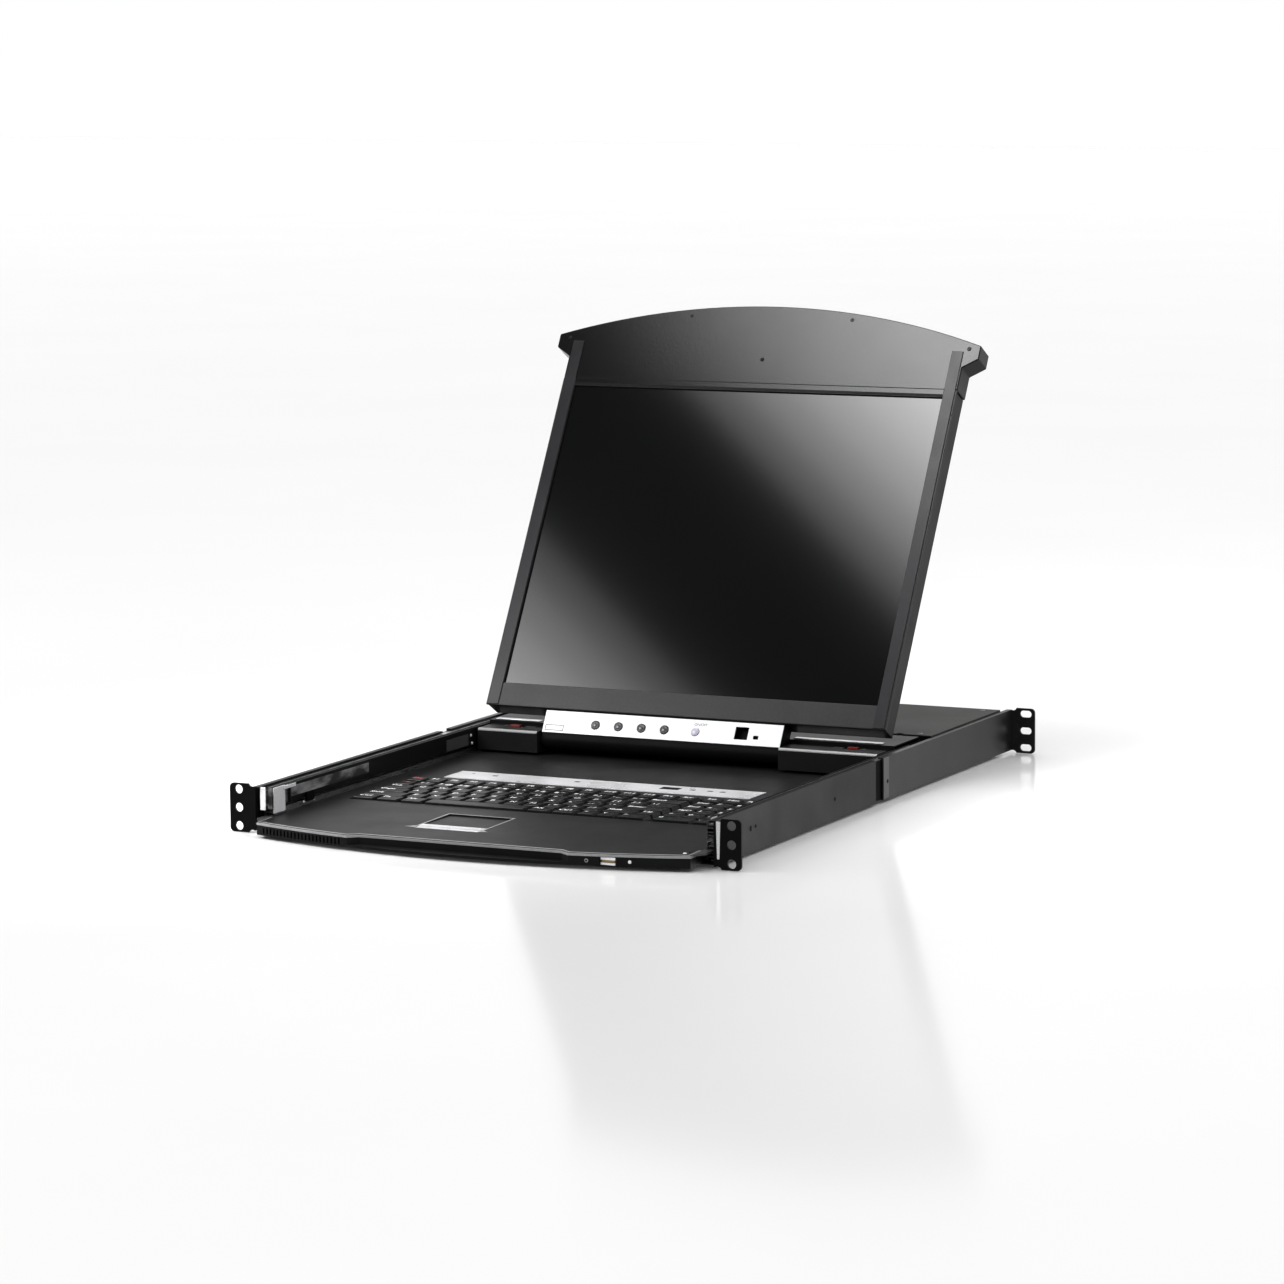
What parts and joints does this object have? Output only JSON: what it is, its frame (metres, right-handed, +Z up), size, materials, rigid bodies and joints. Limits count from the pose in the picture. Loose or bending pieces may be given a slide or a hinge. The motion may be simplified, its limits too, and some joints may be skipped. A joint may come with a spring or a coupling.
{
  "type": "rackmount lcd console drawer",
  "caption": "Rack-mounted console drawer with a fold-up flat screen and a separately sliding keyboard tray on telescopic ball slides.",
  "frame": {"origin": "centre of the front rack-hole pattern, on the front face of the front ears", "axes": "+X to the right seen from the front of the rack, +Y towards the rear of the rack, +Z up"},
  "size_m": [0.4826, 0.705, 0.4154],
  "materials": {
    "powder_coat": "fine-textured black powder coat",
    "textured_coat": "coarse-textured dark grey powder coat",
    "zinc_steel": "bright zinc plate",
    "cage_brass": "passivated strip with steel balls",
    "black_plastic": "fine-grained moulded plastic",
    "bezel_plastic": "fine-grained dark grey plastic",
    "key_plastic": "matt key caps",
    "silver_strip": "satin silver",
    "screen_film": "anti-glare screen",
    "circuit_board": "green solder mask",
    "button_plastic": "dark grey push button",
    "light_button": "light grey push button",
    "red_plastic": "dark red catch"
  },
  "bodies": {
    "root": {"front_rail_left": "powder_coat", "front_rail_right": "powder_coat", "chassis_tray": "powder_coat", "chassis_wall_left": "powder_coat", "chassis_wall_right": "powder_coat", "rear_bulkhead": "powder_coat", "rear_cover": "textured_coat", "rear_panel": "powder_coat", "main_board": "circuit_board", "power_supply": "zinc_steel", "rear_connectors": "zinc_steel", "power_inlet": "black_plastic", "slide_outer_members": "zinc_steel"},
    "rear_bracket_left": {"rear_bracket_left": "powder_coat"},
    "rear_bracket_right": {"rear_bracket_right": "powder_coat"},
    "power_rocker": {"power_rocker": "black_plastic"},
    "keyboard_slide_middle": {"keyboard_slide_middle": "zinc_steel"},
    "keyboard_slide_outer_cage": {"keyboard_slide_outer_cage": "cage_brass"},
    "keyboard_slide_inner_cage": {"keyboard_slide_inner_cage": "cage_brass"},
    "lcd_slide_middle": {"lcd_slide_middle": "zinc_steel"},
    "lcd_slide_outer_cage": {"lcd_slide_outer_cage": "cage_brass"},
    "lcd_slide_inner_cage": {"lcd_slide_inner_cage": "cage_brass"},
    "keyboard_drawer": {"keyboard_tray": "powder_coat", "front_fascia": "black_plastic", "keyboard_deck": "black_plastic", "key_guide_plate": "black_plastic", "touchpad": "black_plastic", "port_strip": "silver_strip", "usb_socket": "zinc_steel", "keyboard_slide_inner": "zinc_steel"},
    "screen_carriage": {"carriage_frame": "powder_coat", "hinge_block_left": "black_plastic", "hinge_block_right": "black_plastic", "hinge_pins": "zinc_steel", "latch_bars": "silver_strip", "lcd_slide_inner": "zinc_steel"},
    "release_catch_left": {"release_catch_left": "red_plastic"},
    "release_catch_right": {"release_catch_right": "red_plastic"},
    "lid": {"lid_rear_cover": "powder_coat", "lid_bezel": "bezel_plastic", "lid_side_strips": "bezel_plastic", "lcd_panel": "screen_film", "backlight_tray": "zinc_steel", "lcd_driver_board": "circuit_board", "lid_handle": "black_plastic", "hinge_barrel": "black_plastic", "control_strip": "silver_strip"},
    "key_row_space": {"key_row_space": "key_plastic"},
    "key_row_lower": {"key_row_lower": "key_plastic"},
    "key_row_home": {"key_row_home": "key_plastic"},
    "key_row_upper": {"key_row_upper": "key_plastic"},
    "key_row_number": {"key_row_number": "key_plastic"},
    "key_row_function": {"key_row_function": "key_plastic"},
    "touchpad_button_left": {"touchpad_button_left": "silver_strip"},
    "touchpad_button_right": {"touchpad_button_right": "silver_strip"},
    "menu_button": {"menu_button": "button_plastic"},
    "right_button": {"right_button": "button_plastic"},
    "left_button": {"left_button": "button_plastic"},
    "exit_button": {"exit_button": "button_plastic"},
    "on_off_button": {"on_off_button": "light_button"}
  },
  "joints": [
    {"name": "rear_bracket_left_slide", "type": "slide", "parent": "root", "child": "rear_bracket_left", "axis": [0, 1, 0], "range_m": [-0.015, 0.115]},
    {"name": "rear_bracket_right_slide", "type": "slide", "parent": "root", "child": "rear_bracket_right", "axis": [0, 1, 0], "range_m": [-0.015, 0.115]},
    {"name": "power_rocker_tilt", "type": "hinge", "parent": "root", "child": "power_rocker", "pos_m": [0.19, 0.6385, 0], "axis": [1, 0, 0], "range_deg": [0, 13]},
    {"name": "keyboard_drawer_slide", "type": "slide", "parent": "root", "child": "keyboard_drawer", "axis": [0, -1, 0], "range_m": [0, 0.38]},
    {"name": "keyboard_slide_middle_travel", "type": "slide", "parent": "root", "child": "keyboard_slide_middle", "axis": [0, -1, 0], "range_m": [0, 0.19]},
    {"name": "keyboard_slide_outer_cage_travel", "type": "slide", "parent": "root", "child": "keyboard_slide_outer_cage", "axis": [0, -1, 0], "range_m": [0, 0.095]},
    {"name": "keyboard_slide_inner_cage_travel", "type": "slide", "parent": "root", "child": "keyboard_slide_inner_cage", "axis": [0, -1, 0], "range_m": [0, 0.285]},
    {"name": "screen_carriage_slide", "type": "slide", "parent": "root", "child": "screen_carriage", "axis": [0, -1, 0], "range_m": [0, 0.41]},
    {"name": "lcd_slide_middle_travel", "type": "slide", "parent": "root", "child": "lcd_slide_middle", "axis": [0, -1, 0], "range_m": [0, 0.205]},
    {"name": "lcd_slide_outer_cage_travel", "type": "slide", "parent": "root", "child": "lcd_slide_outer_cage", "axis": [0, -1, 0], "range_m": [0, 0.1025]},
    {"name": "lcd_slide_inner_cage_travel", "type": "slide", "parent": "root", "child": "lcd_slide_inner_cage", "axis": [0, -1, 0], "range_m": [0, 0.3075]},
    {"name": "lid_hinge", "type": "hinge", "parent": "screen_carriage", "child": "lid", "pos_m": [0, 0.39, 0.0079], "axis": [1, 0, 0], "range_deg": [0, 120]},
    {"name": "release_catch_left_slide", "type": "slide", "parent": "screen_carriage", "child": "release_catch_left", "axis": [1, 0, 0], "range_m": [0, 0.004], "stiffness_N_per_m": 200, "springref_m": -0.002},
    {"name": "release_catch_right_slide", "type": "slide", "parent": "screen_carriage", "child": "release_catch_right", "axis": [-1, 0, 0], "range_m": [0, 0.004], "stiffness_N_per_m": 200, "springref_m": -0.002},
    {"name": "key_row_space_press", "type": "slide", "parent": "keyboard_drawer", "child": "key_row_space", "axis": [0, 0, -1], "range_m": [0, 0.0015], "stiffness_N_per_m": 1500, "springref_m": -0.001},
    {"name": "key_row_lower_press", "type": "slide", "parent": "keyboard_drawer", "child": "key_row_lower", "axis": [0, 0, -1], "range_m": [0, 0.0015], "stiffness_N_per_m": 1500, "springref_m": -0.001},
    {"name": "key_row_home_press", "type": "slide", "parent": "keyboard_drawer", "child": "key_row_home", "axis": [0, 0, -1], "range_m": [0, 0.0015], "stiffness_N_per_m": 1500, "springref_m": -0.001},
    {"name": "key_row_upper_press", "type": "slide", "parent": "keyboard_drawer", "child": "key_row_upper", "axis": [0, 0, -1], "range_m": [0, 0.0015], "stiffness_N_per_m": 1500, "springref_m": -0.001},
    {"name": "key_row_number_press", "type": "slide", "parent": "keyboard_drawer", "child": "key_row_number", "axis": [0, 0, -1], "range_m": [0, 0.0015], "stiffness_N_per_m": 1500, "springref_m": -0.001},
    {"name": "key_row_function_press", "type": "slide", "parent": "keyboard_drawer", "child": "key_row_function", "axis": [0, 0, -1], "range_m": [0, 0.0015], "stiffness_N_per_m": 1500, "springref_m": -0.001},
    {"name": "touchpad_button_left_press", "type": "slide", "parent": "keyboard_drawer", "child": "touchpad_button_left", "axis": [0, 0, -1], "range_m": [0, 0.0006], "stiffness_N_per_m": 800, "springref_m": -0.0005},
    {"name": "touchpad_button_right_press", "type": "slide", "parent": "keyboard_drawer", "child": "touchpad_button_right", "axis": [0, 0, -1], "range_m": [0, 0.0006], "stiffness_N_per_m": 800, "springref_m": -0.0005},
    {"name": "menu_button_press", "type": "slide", "parent": "lid", "child": "menu_button", "axis": [0, 0.866, -0.5], "range_m": [0, 0.0012], "stiffness_N_per_m": 800, "springref_m": -0.0005},
    {"name": "right_button_press", "type": "slide", "parent": "lid", "child": "right_button", "axis": [0, 0.866, -0.5], "range_m": [0, 0.0012], "stiffness_N_per_m": 800, "springref_m": -0.0005},
    {"name": "left_button_press", "type": "slide", "parent": "lid", "child": "left_button", "axis": [0, 0.866, -0.5], "range_m": [0, 0.0012], "stiffness_N_per_m": 800, "springref_m": -0.0005},
    {"name": "exit_button_press", "type": "slide", "parent": "lid", "child": "exit_button", "axis": [0, 0.866, -0.5], "range_m": [0, 0.0012], "stiffness_N_per_m": 800, "springref_m": -0.0005},
    {"name": "on_off_button_press", "type": "slide", "parent": "lid", "child": "on_off_button", "axis": [0, 0.866, -0.5], "range_m": [0, 0.0012], "stiffness_N_per_m": 800, "springref_m": -0.0005}
  ],
  "couplings": [
    {"joint": "keyboard_slide_middle_travel", "follows": "keyboard_drawer_slide", "ratio": 0.5},
    {"joint": "keyboard_slide_outer_cage_travel", "follows": "keyboard_drawer_slide", "ratio": 0.25},
    {"joint": "keyboard_slide_inner_cage_travel", "follows": "keyboard_drawer_slide", "ratio": 0.75},
    {"joint": "lcd_slide_middle_travel", "follows": "screen_carriage_slide", "ratio": 0.5},
    {"joint": "lcd_slide_outer_cage_travel", "follows": "screen_carriage_slide", "ratio": 0.25},
    {"joint": "lcd_slide_inner_cage_travel", "follows": "screen_carriage_slide", "ratio": 0.75}
  ]
}
